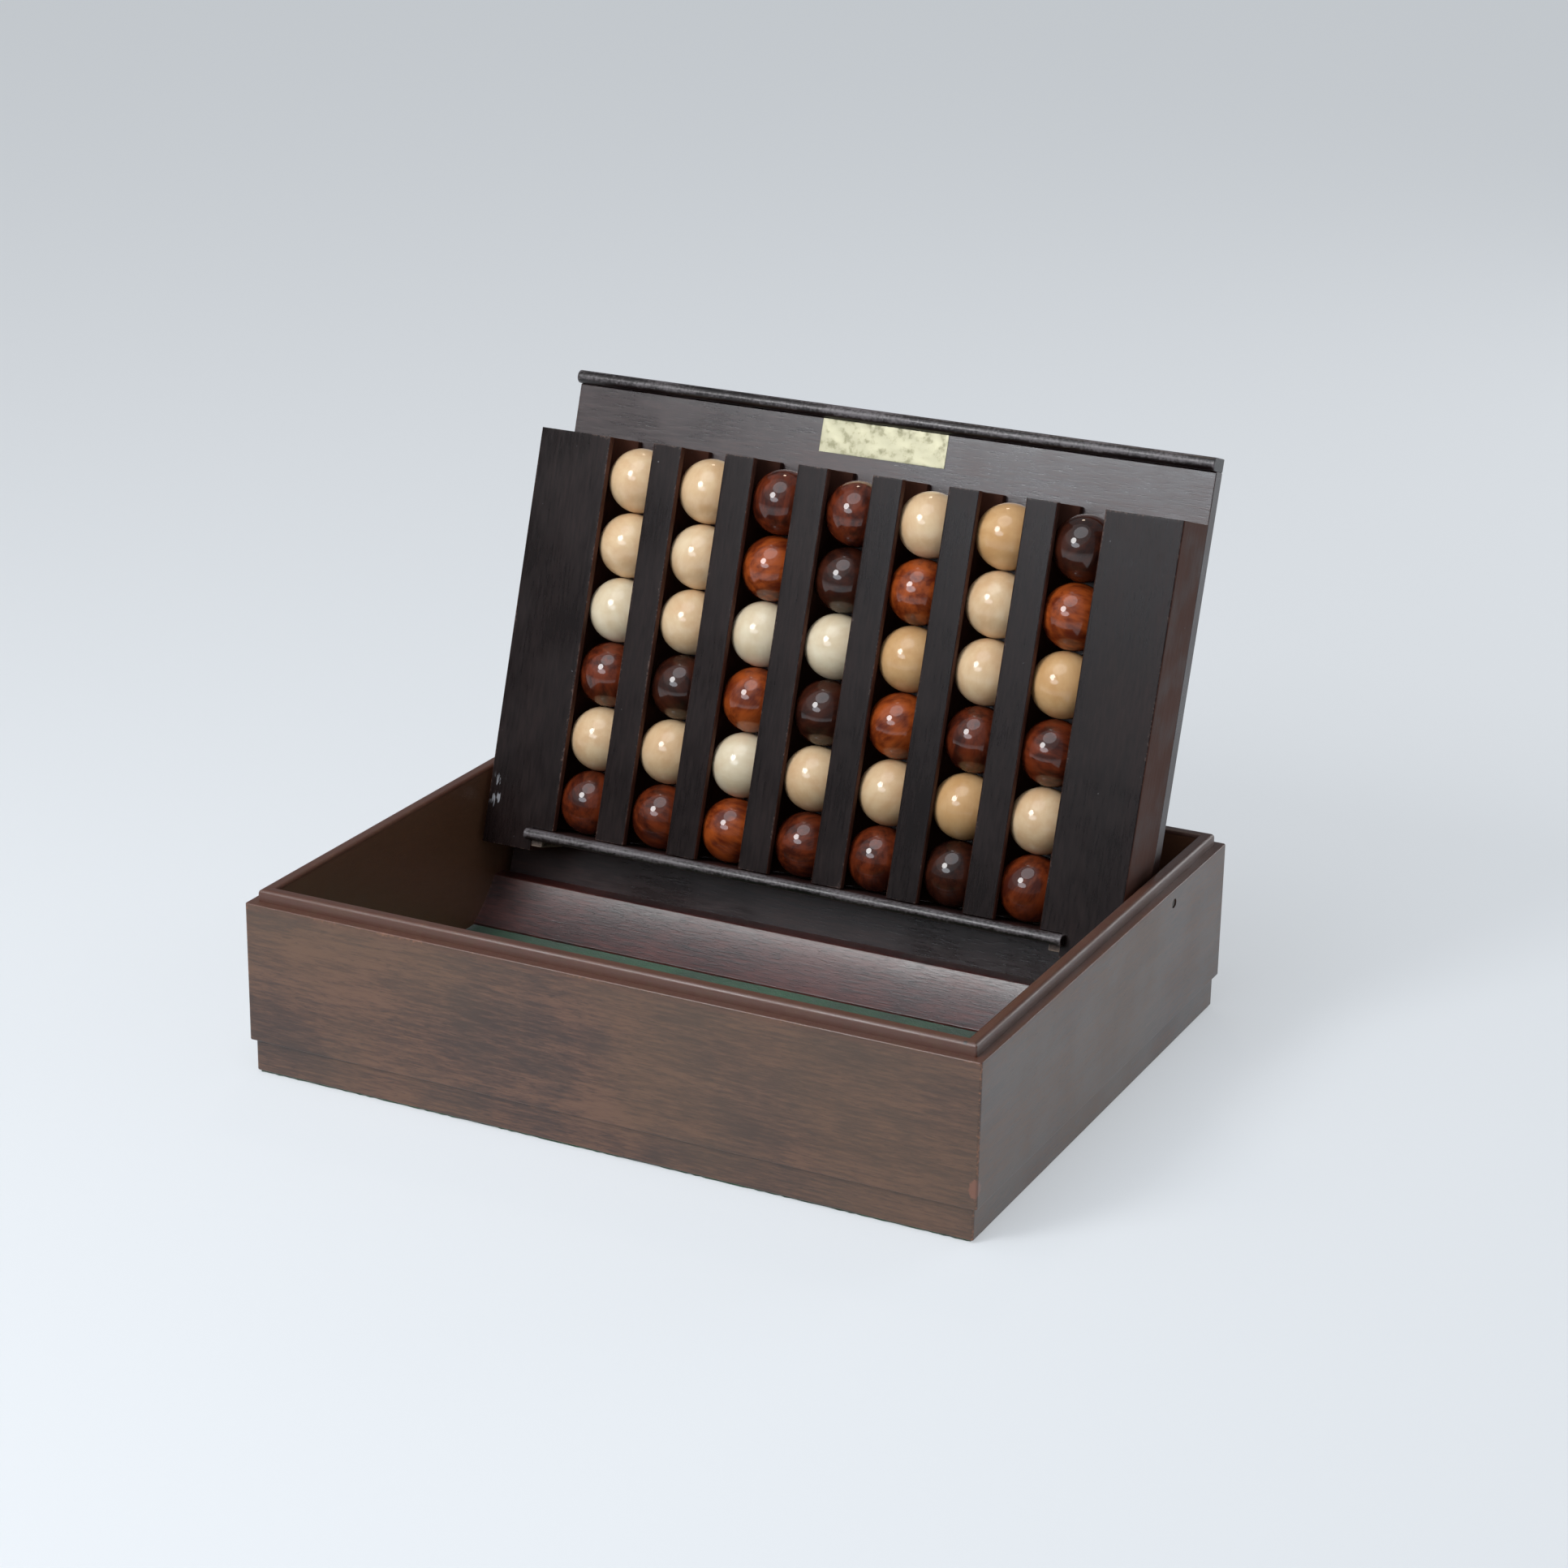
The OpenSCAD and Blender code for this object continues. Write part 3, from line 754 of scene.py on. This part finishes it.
# %% End blocks
def block_outline(side):
    """The outline of an end block above the shelf, for side 1 at the right and -1 at the left."""
    centre = -side * FIRST_X
    edge = centre + side * OPENING_W / 2
    wall = channel_wall(centre, side)
    front, back = [(side * RACK_HALF, 0), (edge, 0)], [(edge, BLOCK_D), (side * RACK_HALF, BLOCK_D)]
    corners = np.concatenate([front, wall, back])
    lip = np.r_[0.3 * MM, np.zeros(len(wall) - 2), 0.3 * MM]
    radii = np.r_[0.6 * MM, 0.5 * MM, lip, 0.3 * MM, 0.3 * MM]
    return with_stops(rounded(corners, radii, 3), 2.4 * MM), corners[[0, 1]]


def block_surface(side):
    """Rings from bottom to top; below the slot's top each point is kept outside the slot."""
    outline, worn = block_outline(side)
    fade = 3 * MM
    travel, inset = eased_end(fade=fade, **SHALLOW)
    middle = np.linspace(CHANNEL_S, BLOCK_TOP - travel[-1], 14)
    line = np.r_[travel, CHANNEL_S, middle, BLOCK_TOP - travel[::-1]]
    inset = np.r_[inset, 0, 0 * middle, inset[::-1]]
    near_end = np.clip(1 - np.minimum(line, BLOCK_TOP - line) / fade, 0, 1)
    section = outline[None] - outward(outline)[None] * inset[:, None, None]
    low = np.arange(len(line)) <= len(travel)
    slot = SLOT_HALF + inset[:, None]
    held = side * np.maximum(side * section[..., 0], slot)
    section[..., 0] = np.where(low[:, None], held, section[..., 0])
    wear = np.maximum(edge_wear(outline, worn, fade)[None], near_end[:, None])
    wear[[0, -1]] = 0
    points = on_rack(section[..., 0], section[..., 1], line[:, None]).reshape(-1, 3)
    return points, ring_faces(len(line), len(outline)), wear.ravel()


for side, name in ((-1, "left"), (1, "right")):
    points, faces, wear = block_surface(side)
    flank = np.abs(outward(block_outline(side)[0])[:, 0])
    block = make_piece(f"rack_block_{name}", points, faces, "rack", f"end_block_{name}", "rack_wood",
                       wear=wear, side=np.tile(flank, len(points) // len(flank)))
    block.data.materials.append(rack_wood_up)
    print(block.name, len(block.data.polygons), "faces")

# %% [markdown]
# ## The release shelf
#
# The balls stand on a thin shelf. Its finger strip has a half-round nose that hands have rubbed pale.
# Two runners under it show their light ends at the foot of the rack.

# %% Shelf, finger strip and runners
SHELF_FRONT, SHELF_BACK, SHELF_UNDER, SHELF_TOP = -0.3 * MM, 17.5 * MM, 5.1 * MM, 8.6 * MM
SHELF_HALF, FINGER_HALF = 109.9 * MM, 111.6 * MM
shelf = box_corners(SHELF_FRONT, SHELF_BACK, SHELF_UNDER, SHELF_TOP)
shelf_radii = np.array([0.2, 0.5, 0.5, 0.2]) * MM
rack_strip("shelf_board", "release_shelf", with_stops(rounded(shelf, shelf_radii), 2 * MM), -SHELF_HALF,
           SHELF_HALF, across, shelf, rack_wood_across, body="shelf", ease=0.12 * MM, cap=0.18 * MM)
finger = with_stops(nosed(-4.5 * MM, SHELF_FRONT, 4.4 * MM, SHELF_TOP), 1.2 * MM)
finger_worn = [(-4.5 * MM, 6.5 * MM), (-3.6 * MM, 8.3 * MM), (-2 * MM, SHELF_TOP)]
rack_strip("finger_strip", "shelf_pull_strip", finger, -FINGER_HALF, FINGER_HALF, across, finger_worn,
           strip_wood, body="shelf")
RUNNER_W, RUNNER_UNDER, RUNNER_TOP, RUNNER_FRONT, RUNNER_BACK = np.array([4.6, 1.8, 4.8, 0.6, 18.1]) * MM
inwards = lambda a, b, c: on_rack(a, c, b)
for side, name in ((-1, "left"), (1, "right")):
    x0, x1 = sorted((side * (SLOT_HALF - RUNNER_W), side * SLOT_HALF))
    runner = box_corners(x0, x1, RUNNER_UNDER, RUNNER_TOP)
    runner_outline = with_stops(rounded(runner, [0.4 * MM] * 4), 2 * MM)
    rack_strip(f"shelf_runner_{name}", f"runner_{name}", runner_outline, RUNNER_FRONT, RUNNER_BACK, inwards,
               runner, runner_wood, slot="runner_wood")

# %% [markdown]
# ## The bare plate
#
# A thin brass-coloured foil is stuck to the board's band. It stays bare. Foil is never quite flat, so
# its face ripples by a few hundredths of a millimetre, which breaks up its reflection.

# %% Plate
PLATE_W, PLATE_H = 52 * MM, 12.7 * MM
PLATE_LOW = BOARD_TOP - 0.3 * MM - PLATE_H


def plate_surface(columns=70, rows=18):
    """A grid over the plate. Its face ripples by a sum of sines, and its rim drops to the board."""
    u = np.r_[0, 0, np.linspace(0.004, 0.996, columns), 1, 1]
    v = np.r_[0, 0, np.linspace(0.02, 0.98, rows), 1, 1]
    u, v = np.meshgrid(u, v, indexing="ij")
    ripple = np.sin(19 * u + 3 * v) * np.sin(5 * v + 4 * u + 1) + 0.5 * np.sin(43 * u - 7 * v)
    face = BLOCK_D - 0.24 * MM + 0.03 * MM * ripple
    edge = np.minimum.reduce([u, 1 - u, v, 1 - v]) <= 0
    face = np.where(edge, BLOCK_D - 0.2 * MM, face)
    face[[0, -1]] = face[:, [0, -1]] = BLOCK_D
    x, s = (u - 0.5) * PLATE_W, PLATE_LOW + v * PLATE_H
    return on_rack(x, face, s), edge


points, edge = plate_surface()
quads, index = sheet_quads(points.shape[:2])
rim = np.concatenate([index[:-1, 0], index[-1, :-1], index[:0:-1, -1], index[0, :0:-1]])
plate = make_piece("bare_plate", points.reshape(-1, 3), quads + [rim.tolist()], "rack", "label_plate",
                   "label_brass", wear=edge.ravel() * 1.0)
r = Recipe("plate_foil")
here = r.add("ShaderNodeTexCoord", output="Object")
blot = noise(r, here, 260, 4, 0.65)
tarnish = between(r, blot + attribute(r, "wear") * 0.12, 0.5, 0.68)
foil = mix(r, tarnish * 0.5, srgb(196, 191, 160), srgb(140, 136, 98))
dull = between(r, blot, 0.4, 0.7, 0.35, 0.6)
foil_finish = r.finish(Base_Color=foil, Metallic=0.35, Roughness=dull, Normal=bump(r, blot, 0.05 * MM))
plate.data.materials.append(foil_finish)
print("plate", len(plate.data.polygons), "faces")

# %% [markdown]
# ## Forty-two turned balls
#
# Each ball was turned on a lathe from its own bit of wood, so no two have the same grain. A ball is a
# grid of latitude and longitude with a tiny flat at each pole, where the chuck held it. A seeded random
# turn lays its grain, and two attributes carry that into the shader: its own coordinates, and its tone.
# LAYOUT lists each channel from the bottom up, and the sets below name balls as (channel, row).

# %% Ball surfaces
BALL_R, BALL_PITCH, BALL_DEPTH, FIRST_BALL = 12.5 * MM, 25.05 * MM, 12.9027 * MM, 21.4 * MM
SIDE_PLAY = (-1.0, -0.2)
POLE_FLAT, POLE_REACH = 0.006, 0.1
LAYOUT = ("DLDLLL", "DLDLLL", "DLDLDD", "DLDLDD", "DLDLDL", "DLDLLL", "DLDLDD")
REDDEST = {(3, 1), (3, 3), (5, 3), (3, 5), (5, 5), (7, 5)}
DARKEST = {(6, 1), (2, 3), (4, 3), (4, 5), (7, 6)}
PALEST = {(1, 4), (3, 4), (4, 4), (3, 2)}
TANNEST = {(6, 2), (5, 4), (7, 4), (6, 6)}
random = np.random.default_rng(7)


def shade(k, row):
    """How deep a ball's colour is, from 0 for the warmest to 1 for the palest or darkest."""
    here = (k, row)
    if here in REDDEST | TANNEST:
        return random.uniform(0, 0.12)
    return random.uniform(0.88, 1) if here in DARKEST | PALEST else random.uniform(0.35, 0.65)


def turned_ball(rings=40, segments=60):
    """Unit ball as a closed grid, with each pole flattened by a narrow bell curve."""
    polar = np.linspace(0, np.pi, rings + 1)[:, None]
    around = np.linspace(0, 2 * np.pi, segments, endpoint=False)[None]
    radius = 1 - POLE_FLAT * np.exp(-((np.sin(polar) / POLE_REACH) ** 2))
    x, y = np.sin(polar) * np.cos(around), np.sin(polar) * np.sin(around)
    grid = np.stack([x, y, np.cos(polar) + 0 * around], -1)
    return (grid * radius[..., None]).reshape(-1, 3), (rings + 1, segments)


def random_turn():
    """A rotation matrix from a random unit quaternion."""
    q = random.normal(size=4)
    w, x, y, z = q / np.linalg.norm(q)
    return np.array([
        [1 - 2 * (y * y + z * z), 2 * (x * y - z * w), 2 * (x * z + y * w)],
        [2 * (x * y + z * w), 1 - 2 * (x * x + z * z), 2 * (y * z - x * w)],
        [2 * (x * z - y * w), 2 * (y * z + x * w), 1 - 2 * (x * x + y * y)]])


def ball_set(k, letter):
    """All balls of one colour in channel k: each lies a little off the channel's middle."""
    shape, size = turned_ball()
    quads, _ = ring_quads(*size)
    points, own, tones, faces = [], [], [], []
    for row, ball in enumerate(LAYOUT[k - 1]):
        if ball == letter:
            x = FIRST_X + (k - 1) * PITCH + random.uniform(*SIDE_PLAY) * MM
            centre = on_rack(x, BALL_DEPTH, FIRST_BALL + row * BALL_PITCH)
            faces.append(quads + len(points) * len(shape))
            points.append(shape @ random_turn().T * BALL_R + centre)
            own.append(shape + random.uniform(-50, 50, 3))
            tones.append(np.full(len(shape), shade(k, row + 1)))
    return np.concatenate(points), np.concatenate(faces).tolist(), np.concatenate(own), np.concatenate(tones)


# %% [markdown]
# The light balls are a pale close-grained wood under clear varnish, some pinker and some yellower. The
# dark balls are stained a red brown that is nearly black where the stain sank in, with the grain
# shining through it in streaks.


# %% Ball finishes
def ball_finish(name, warm, middle, deep, streaks, share_from, coat_rough):
    """Varnished wood in the ball's own coordinates: each stage of shade has two streak colours."""
    r = Recipe(name)
    own = attribute(r, "own", "Vector")
    stretched = r.add("ShaderNodeMapping", {}, {"Vector": own, "Scale": (streaks, streaks, 0.9)})
    lines = noise(r, stretched, 1, 4, 0.6)
    cloud = noise(r, own, 1.1, 2)
    share = between(r, lines * 0.6 + cloud * 0.4, *share_from)
    depth = attribute(r, "tone") + (cloud - 0.5) * 0.25
    near = mix(r, between(r, depth, 0.1, 0.45), mix(r, share, *warm), mix(r, share, *middle))
    colour = mix(r, between(r, depth, 0.55, 0.9), near, mix(r, share, *deep))
    return r.finish(Base_Color=colour, Roughness=0.5, Specular_IOR_Level=0.15, Coat_Weight=1.0,
                    Coat_Roughness=coat_rough, Normal=bump(r, lines, 0.006 * MM))


TAN = srgb(206, 158, 104), srgb(222, 180, 128)
PEACH = srgb(220, 180, 136), srgb(236, 206, 164)
CREAM = srgb(226, 204, 168), srgb(240, 226, 196)
RED_BROWN = srgb(92, 30, 8), srgb(168, 78, 28)
BROWN = srgb(54, 17, 7), srgb(118, 48, 20)
BLACK_BROWN = srgb(32, 11, 6), srgb(66, 28, 14)
light_balls = ball_finish("light_ball_varnish", TAN, PEACH, CREAM, 2.2, (0.3, 0.7), 0.1)
dark_balls = ball_finish("dark_ball_varnish", RED_BROWN, BROWN, BLACK_BROWN, 3.4, (0.36, 0.64), 0.05)
for k in range(1, 8):
    for letter, word, finish in (("L", "light", light_balls), ("D", "dark", dark_balls)):
        points, faces, own, tones = ball_set(k, letter)
        balls = make_piece(f"{word}_balls_{k}", points, faces, f"balls_{k}", f"column_{k}_{word}",
                           f"ball_{word}", weighted=False, own=own, tone=tones)
        balls.data.materials.append(finish)
print("balls of channel 7:", len(balls.data.polygons), "faces")

# %% [markdown]
# ## Pivot pins
#
# A steel pin is a circle carried along a line, with a small chamfer at each end. Only the right one's
# outer end shows, dull and dark in its hole.

# %% Pins
r = Recipe("pin_steel")
here = r.add("ShaderNodeTexCoord", output="Object")
dull = noise(r, here, 1400, 3)
tint = mix(r, between(r, dull, 0.35, 0.7), srgb(70, 64, 60), srgb(120, 116, 112))
steel = r.finish(Base_Color=tint, Metallic=0.9, Roughness=between(r, dull, 0.3, 0.7, 0.35, 0.6),
                 Normal=bump(r, dull, 0.02 * MM))
turn = np.linspace(0, 2 * np.pi, 40, endpoint=False)
circle = PIN_R * np.stack([np.cos(turn), np.sin(turn)], 1) + (PIVOT_Y, PIVOT_Z)
for name in ("left", "right"):
    low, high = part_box(f"pivot_pin_{name}")
    points, faces, _ = strip(circle, low.x, high.x, lengthwise, circle[:1], ease=0.25 * MM, cap=0.8 * MM)
    pin = make_piece(f"pin_{name}", points, faces, "tray", f"pivot_pin_{name}", "pin_steel")
    pin.data.materials.append(steel)
print("pins", len(pin.data.polygons), "faces each")

# %% [markdown]
# ## Baize
#
# Green baize lies glued on the tray's floor and under its foot. It is a sheet of felted wool: matt,
# with short hairs that catch the light at grazing angles, and never perfectly level. Each sheet is a
# grid with a gentle unevenness, given its thickness by a Solidify modifier.

# %% Cloth sheets
r = Recipe("baize")
here = r.add("ShaderNodeTexCoord", output="Object")
nap = noise(r, here, 2600, 3, 0.7)
patch = noise(r, here, 60, 3)
green = mix(r, between(r, nap * 0.7 + patch * 0.5, 0.4, 0.8), srgb(14, 50, 30), srgb(38, 96, 60))
baize = r.finish(Base_Color=green, Roughness=0.95, Sheen_Weight=0.35, Sheen_Roughness=0.5,
                 Normal=bump(r, nap, 0.25 * MM))


def cloth_grid(width, depth, level, rise, step, ragged=0.0):
    """A flat grid whose height varies by rise, and whose rim wavers by ragged."""
    x = np.linspace(-width / 2, width / 2, int(width / step))
    y = np.linspace(-depth / 2, depth / 2, int(depth / step))
    x, y = np.meshgrid(x, y, indexing="ij")
    wave = np.sin(61 * x + 23 * y) * np.sin(47 * y - 19 * x + 1) * 0.5 + 0.5
    z = level + rise * wave
    rim_x, rim_y = np.abs(x) > width / 2 - 1e-9, np.abs(y) > depth / 2 - 1e-9
    x = x - np.sign(x) * rim_x * ragged * (0.5 + 0.5 * np.sin(900 * y + 7 * np.sin(210 * y)))
    y = y - np.sign(y) * rim_y * ragged * (0.5 + 0.5 * np.sin(870 * x + 6 * np.sin(190 * x)))
    return np.stack([x, y, z], -1).reshape(-1, 3), sheet_quads(x.shape)[0]


def lay_cloth(name, node, grid, thickness, down):
    """A cloth sheet whose nap side looks up, or down, and whose thickness goes the other way."""
    points, faces = grid
    cloth = make_piece(name, points, faces, "tray", node, "baize", weighted=False)
    facing_down = cloth.data.polygons[0].normal.z < 0
    if facing_down != down:
        cloth.data.flip_normals()
    thick = cloth.modifiers.new("cloth", "SOLIDIFY")
    thick.thickness, thick.offset = thickness, -1
    cloth.data.materials.append(baize)
    return cloth


floor_grid = cloth_grid(2 * INNER_HALF_W, 2 * INNER_HALF_D, level=8.9 * MM, rise=0.1 * MM, step=4 * MM)
floor_cloth = lay_cloth("floor_cloth", "floor_baize", floor_grid, 0.85 * MM, down=False)
foot_grid = cloth_grid(280.2 * MM, 220.264 * MM, level=0.0, rise=0.03 * MM, step=2 * MM, ragged=0.5 * MM)
foot_cloth = lay_cloth("foot_cloth", "underside_baize", foot_grid, 0.77 * MM, down=True)
print("floor cloth", len(floor_cloth.data.polygons), "faces; foot cloth", len(foot_cloth.data.polygons))

# %% [markdown]
# ## Camera
#
# The camera repeats the photograph's view: its place and direction were worked out from the tray's
# straight edges. Its axes come from the azimuth and elevation, and the roll turns two of them.

# %% Camera
EYE = Vector((559.6, -1096.5, 550.7)) * MM
AZIMUTH, ROLL = math.radians(26.46), math.radians(0.93)


def direction(azimuth, elevation):
    """The unit vector towards a compass direction, in degrees, with 0 in front and 90 at the right."""
    a, e = math.radians(azimuth), math.radians(elevation)
    return Vector((math.sin(a) * math.cos(e), -math.cos(a) * math.cos(e), math.sin(e)))


back = direction(26.46, 20.07)
right = Vector((math.cos(AZIMUTH), math.sin(AZIMUTH), 0))
up = back.cross(right)
tilted_right = right * math.cos(ROLL) + up * math.sin(ROLL)
tilted_up = up * math.cos(ROLL) - right * math.sin(ROLL)
camera = bpy.data.objects.new("camera", bpy.data.cameras.new("camera"))
bpy.context.scene.collection.objects.link(camera)
camera.matrix_world = Matrix.Translation(EYE) @ Matrix((tilted_right, tilted_up, back)).transposed().to_4x4()
camera.data.sensor_width, camera.data.lens = 36, 83.55
camera.data.shift_y = -0.0013
camera.data.clip_start, camera.data.clip_end = 0.05, 50
bpy.context.scene.camera = camera
print("camera at", tuple(EYE))

# %% [markdown]
# ## Light and floor
#
# The key lamp stands left of the camera, about 40 degrees up, where the balls' highlights point. A wide
# cool window gives the rack its sheen, an overhead lamp the ramp's, one low at the right the side
# wall's, and a small warm one from behind touches the top balls. The floor is pale by its own colour,
# and glows a little to the camera and in reflections, so the object gets no extra light from it.

# %% Lamps, world and floor
RACK_MIDDLE = Vector((0, 0.04, 0.1))


def soft_lamp(name, azimuth, elevation, distance, width, height, radiance, colour=(1, 1, 1)):
    """A lamp that looks at the rack from a compass direction; its power is pi * area * radiance."""
    way = direction(azimuth, elevation)
    lamp = bpy.data.objects.new(name, bpy.data.lights.new(name, "AREA"))
    bpy.context.scene.collection.objects.link(lamp)
    lamp.location = RACK_MIDDLE + way * distance
    lamp.rotation_mode = "QUATERNION"
    lamp.rotation_quaternion = way.to_track_quat("Z", "Y")
    lamp.data.shape, lamp.data.size, lamp.data.size_y = "ELLIPSE", width, height
    lamp.data.energy, lamp.data.color = math.pi * (math.pi * width * height / 4) * radiance, colour


soft_lamp("key_lamp", -26, 39, 1.3, 0.42, 0.42, 15)
soft_lamp("window", -13, 26, 1.6, 0.85, 0.45, 4.6, (0.86, 0.92, 1.0))
soft_lamp("overhead", -15, 70, 1.6, 1.2, 1.2, 2.0, (0.9, 0.94, 1.0))
soft_lamp("right_lamp", 148, 12, 1.5, 1.0, 0.5, 3.0)
soft_lamp("back_lamp", 205, 55, 1.5, 0.14, 0.14, 14, (1.0, 0.8, 0.62))
ceiling = bpy.data.objects.new("ceiling_light", bpy.data.lights.new("ceiling_light", "SUN"))
bpy.context.scene.collection.objects.link(ceiling)
ceiling.data.energy, ceiling.data.angle = 0.35, math.radians(80)
ceiling.rotation_euler = (math.radians(28), math.radians(-18), 0)

world = bpy.data.worlds.new("studio")
world.use_nodes = True
sky = world.node_tree.nodes["Background"].inputs
sky["Color"].default_value, sky["Strength"].default_value = (0.84, 0.92, 1.0, 1), 0.2
bpy.context.scene.world = world

floor_mesh = bpy.data.meshes.new("studio_floor")
FLOOR_HALF, BELOW = 8.0, -0.1 * MM
floor_points = [(x, y, BELOW) for x, y in box_corners(-FLOOR_HALF, FLOOR_HALF, -FLOOR_HALF, FLOOR_HALF)]
floor_mesh.from_pydata(floor_points, [], [(0, 1, 2, 3)])
floor = bpy.data.objects.new("studio_floor", floor_mesh)
bpy.context.scene.collection.objects.link(floor)
floor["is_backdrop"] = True
r = Recipe("pale_floor")
floor_mesh.materials.append(r.finish(Base_Color=srgb(232, 236, 240), Roughness=0.8))
glow = r.add("ShaderNodeEmission", {}, {"Color": (0.92, 0.96, 1.0, 1)}, output="Emission")
to_camera = r.add("ShaderNodeLightPath", output="Is Camera Ray")
reflected = r.add("ShaderNodeLightPath", output="Is Glossy Ray")
share = (to_camera + reflected) * 0.45
both = r.add("ShaderNodeMixShader", {}, {0: share, 1: Wire(r, r.shader.outputs[0]), 2: glow})
r.feed(r.tree.nodes["Material Output"].inputs["Surface"], both)
bpy.context.scene.view_settings.view_transform = "Standard"
print("lamps", [lamp.name for lamp in bpy.data.lights])

# %% [markdown]
# ## The dressed object's size
#
# The looks must not change the object's size, so the dressed object's box is printed.

# %% The dressed object's box
low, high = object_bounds()
print("dressed box", tuple(low), tuple(high))
